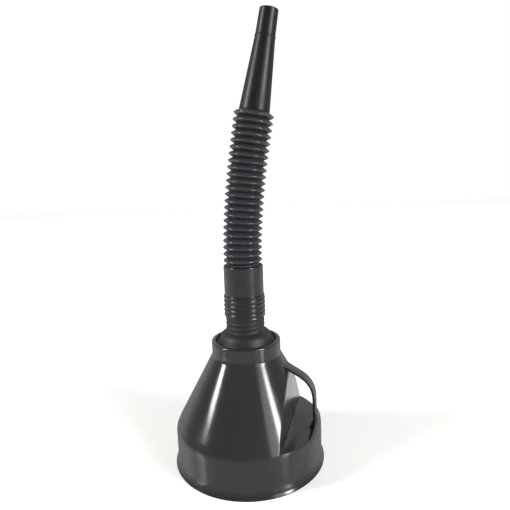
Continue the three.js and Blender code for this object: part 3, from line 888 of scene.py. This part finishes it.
def strainerOutline(azimuth):
    bore = strainer["spigotRadius"] - strainer["spigotWall"]
    bottom = strainer["flangeTop"] - strainer["flangeThickness"]
    reach = strainer["spigotRadius"] + strainer["flangeReach"]
    top = strainer["flangeTop"] + strainer["spigotHeight"]
    ease = strainer["ease"]
    return easedOutline([
        (bore, bottom, ease), (reach, bottom, ease), (reach, strainer["flangeTop"], ease),
        (strainer["spigotRadius"], strainer["flangeTop"], ease), (strainer["spigotRadius"], top, 0.8),
        (bore, top, ease),
    ], 5)


def spokePiece(index):  # a bar right across the ring, which makes two spokes
    bottom = strainer["flangeTop"] - strainer["flangeThickness"]
    top = gauze["height"] - strainer["gauzeGap"]
    reach = strainer["spigotRadius"] - strainer["spigotWall"] / 2
    half = strainer["spokeWidth"] / 2
    narrow = half * strainer["spokeTaper"]
    section = easedOutline([
        (-half, bottom, 0.5), (half, bottom, 0.5), (narrow, top, 0.4), (-narrow, top, 0.4),
    ], 4)
    points = [(end * reach, point.x, point.y) for end in (-1, 1) for point in section]
    turn = Matrix.Rotation(2 * math.pi * index / strainer["spokeCount"], 4, "Z")
    return barPiece("spoke", points, len(section), strainerPlastic, turn)


strainerRing = turnedPiece("strainerRing", strainerOutline, strainer["sides"], strainerPlastic)
for index in range(strainer["spokeCount"] // 2):
    joinSolid(strainerRing, spokePiece(index))
finishMesh(strainerRing, strainerPlastic)
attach(strainerRing, "strainer")
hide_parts("strainer_frame")


def gauzeTree():
    tree, given, leave, calc = newTree("wovenGauze", [
        ("Radius", "Float", 0.02), ("Height", "Float", 0.1), ("Wire Radius", "Float", 0.0001),
        ("Spacing", "Float", 0.001), ("Wave", "Float", 0.0001), ("Steps", "Int", 64),
        ("Material", "Material", None),
    ])
    count = calc("FLOOR", calc("DIVIDE", calc("MULTIPLY", given["Radius"], 1.97), given["Spacing"]))
    halfSpan = calc("MULTIPLY", calc("MULTIPLY", calc("SUBTRACT", count, 1.0), given["Spacing"]), 0.5)
    lowEnd = calc("MULTIPLY", halfSpan, -1.0)
    both = addNode(tree, "GeometryNodeJoinGeometry", (500, 200))
    for crossing in (0, 1):  # the second set of wires crosses the first, half a wave apart
        lane = 400 * crossing
        line = makeNode(tree, "GeometryNodeCurvePrimitiveLine", (-1000, lane), {
            "Start": combine(tree, X=lowEnd), "End": combine(tree, X=halfSpan),
        })
        wire = makeNode(tree, "GeometryNodeResampleCurve", (-800, lane), {"Curve": line, "Count": given["Steps"]})
        row = makeNode(tree, "GeometryNodeMeshLine", (-800, lane - 200), {
            "Count": count, "Start Location": combine(tree, Y=lowEnd), "Offset": combine(tree, Y=given["Spacing"]),
        }, mode="OFFSET")
        copies = makeNode(tree, "GeometryNodeInstanceOnPoints", (-500, lane), {"Points": row, "Instance": wire})
        spread = makeNode(tree, "GeometryNodeRealizeInstances", (-300, lane), {"Geometry": copies})

        along, across, _ = here(tree)
        turns = calc("DIVIDE", calc("MULTIPLY", along, math.pi), given["Spacing"])
        rank = calc("DIVIDE", calc("MULTIPLY", across, math.pi), given["Spacing"])
        lift = calc("MULTIPLY", calc("COSINE", turns), calc("COSINE", rank))
        lift = calc("MULTIPLY", lift, given["Wave"])
        lift = calc("MULTIPLY", lift, -1.0 if crossing else 1.0)
        reach = calc("MULTIPLY", given["Radius"], given["Radius"])
        room = calc("SUBTRACT", reach, calc("MULTIPLY", across, across))
        chord = calc("SQRT", calc("MAXIMUM", room, 0.0))
        inside = calc("MINIMUM", calc("MAXIMUM", along, calc("MULTIPLY", chord, -1.0)), chord)
        x, y = (across, inside) if crossing else (inside, across)
        woven = makeNode(tree, "GeometryNodeSetPosition", (200, lane), {
            "Geometry": spread, "Position": combine(tree, X=x, Y=y, Z=calc("ADD", lift, given["Height"])),
        })
        tree.links.new(woven, both.inputs["Geometry"])
    ring = {"Radius": given["Wire Radius"], "Resolution": 4}
    circle = makeNode(tree, "GeometryNodeCurvePrimitiveCircle", (500, -100), ring, mode="RADIUS")
    skin = makeNode(tree, "GeometryNodeCurveToMesh", (800, 200), {
        "Curve": both.outputs["Geometry"], "Profile Curve": circle, "Fill Caps": True,
    })
    closeTree(tree, skin, given["Material"], leave)
    return tree


strainerGauze = newObject("strainerGauze", bpy.data.meshes.new("strainerGauze"))
applyTree(strainerGauze, gauzeTree(), {
    "Radius": gauze["radius"] * mm, "Height": gauze["height"] * mm, "Wire Radius": gauze["wire"] * mm,
    "Spacing": gauze["spacing"] * mm, "Wave": gauze["wave"] * mm, "Steps": gauze["stepsPerWire"],
    "Material": gauzeBrass,
})
bakePiece(strainerGauze)
finishMesh(strainerGauze, gauzeBrass, 60)
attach(strainerGauze, "strainer")
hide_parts("strainer_gauze")
print("strainer made:", len(strainerGauze.data.polygons), "gauze faces")


# Stage: a floor that brightens away from the funnel, a pale room, upright strips of light and the photo's view.

stage = {
    "floorSize": 6.0, "floorColour": (0.83, 0.83, 0.79), "floorGloss": 0.14, "floorIor": 1.35,
    "glowNear": 0.24, "glowFar": 1.0, "glowFrom": 0.15, "glowTo": 0.9,
    "worldFill": 0.42, "roomFront": (0.49, 0.51, 0.54), "roomBack": (1.0, 1.0, 1.0),
    "roomFrom": 0.1, "roomTo": 0.75, "stripDistance": 1.8,
    "cameraPlace": (11.28, -434.67, 278.78), "cameraPitch": 10.357, "cameraRoll": -1.975,
    "focalPixels": 480.0, "imagePixels": 510.0, "sensorWidth": 36.0,
}
strips = [  # azimuth and heights in degrees, seen from the mouth
    {"name": "leftStrip", "azimuth": -76, "lowest": 17, "highest": 42, "width": 0.32, "level": 52},
    {"name": "rightStrip", "azimuth": 53, "lowest": 9, "highest": 31.5, "width": 0.3, "level": 55},
    {"name": "rightTop", "azimuth": 52, "lowest": 36, "highest": 45, "width": 0.3, "level": 28},
    {"name": "rightGlow", "azimuth": 39, "lowest": 6, "highest": 32, "width": 0.5, "level": 5},
]


def seenDirectly(tree):  # 1 for what the camera, a gloss or a glass sees
    path = addNode(tree, "ShaderNodeLightPath", (-800, -100)).outputs
    either = formula(tree, "MAXIMUM", path["Is Camera Ray"], path["Is Glossy Ray"])
    return formula(tree, "MAXIMUM", either, path["Is Transmission Ray"])


def makeFloor():
    mesh = bpy.data.meshes.new("floor")
    half = stage["floorSize"] / 2
    corners = [(-half, -half, 0), (half, -half, 0), (half, half, 0), (-half, half, 0)]
    mesh.from_pydata(corners, [], [(0, 1, 2, 3)])
    floor = newObject("floor", mesh)
    material, tree, coated, where = newMaterial("paleFloor", "ShaderNodeMixShader")
    matt = makeNode(tree, "ShaderNodeBsdfDiffuse", (0, 100), {"Color": (*stage["floorColour"], 1)})
    distance = addNode(tree, "ShaderNodeVectorMath", (-700, -400), operation="LENGTH")
    tree.links.new(where, distance.inputs[0])
    levels = {"To Min": stage["glowNear"], "To Max": stage["glowFar"]}
    sweep = ease(tree, distance.outputs["Value"], stage["glowFrom"], stage["glowTo"], levels)
    strength = formula(tree, "MULTIPLY", seenDirectly(tree), sweep)
    glow = makeNode(tree, "ShaderNodeEmission", (0, -100), {"Strength": strength})
    feed(tree, coated, {
        0: makeNode(tree, "ShaderNodeFresnel", (0, 300), {"IOR": stage["floorIor"]}),
        1: makeNode(tree, "ShaderNodeAddShader", (300, 0), {0: matt, 1: glow}),
        2: makeNode(tree, "ShaderNodeBsdfGlossy", (0, -300), {"Roughness": stage["floorGloss"]}),
    })
    mesh.materials.append(material)


def makeWorld():
    world = bpy.data.worlds.new("paleRoom")
    scene.world = world
    world.use_nodes = True
    tree = world.node_tree
    where = addNode(tree, "ShaderNodeTexCoord", (-900, 200)).outputs["Generated"]
    split = addNode(tree, "ShaderNodeSeparateXYZ", (-700, 200))
    tree.links.new(where, split.inputs[0])
    sweep = ease(tree, split.outputs["Y"], stage["roomFrom"], stage["roomTo"])  # white behind, dimmer in front
    fill = {"Value": seenDirectly(tree), "To Min": stage["worldFill"]}
    feed(tree, tree.nodes["Background"], {
        "Color": mixColours(tree, sweep, stage["roomFront"], stage["roomBack"]),
        "Strength": makeNode(tree, "ShaderNodeMapRange", (-250, -100), fill),
    })


def makeStrip(strip):  # an upright lamp that faces the axis
    distance = stage["stripDistance"]
    low, high = (math.tan(math.radians(strip[end])) * distance for end in ("lowest", "highest"))
    light = bpy.data.lights.new(strip["name"], "AREA")
    light.shape = "RECTANGLE"
    light.size = strip["width"]
    light.size_y = high - low
    light.energy = strip["level"] * math.pi * strip["width"] * (high - low)
    lamp = newObject(strip["name"], light)
    azimuth = math.radians(strip["azimuth"])
    away = Vector((math.sin(azimuth), -math.cos(azimuth), 0))
    lamp.location = away * distance + Vector((0, 0, (low + high) / 2))
    lamp.rotation_euler = away.to_track_quat("Z", "Y").to_euler()


def makeCamera():
    lens = bpy.data.cameras.new("camera")
    lens.sensor_width = stage["sensorWidth"]
    lens.lens = stage["sensorWidth"] * stage["focalPixels"] / stage["imagePixels"]
    lens.clip_start = 0.01
    camera = newObject("camera", lens)
    pitch = Matrix.Rotation(math.radians(90 - stage["cameraPitch"]), 4, "X")
    roll = Matrix.Rotation(math.radians(stage["cameraRoll"]), 4, "Z")
    camera.matrix_world = Matrix.Translation(Vector(stage["cameraPlace"]) * mm) @ pitch @ roll
    scene.camera = camera


makeFloor()
makeWorld()
for strip in strips:
    makeStrip(strip)
makeCamera()
print("stage set")
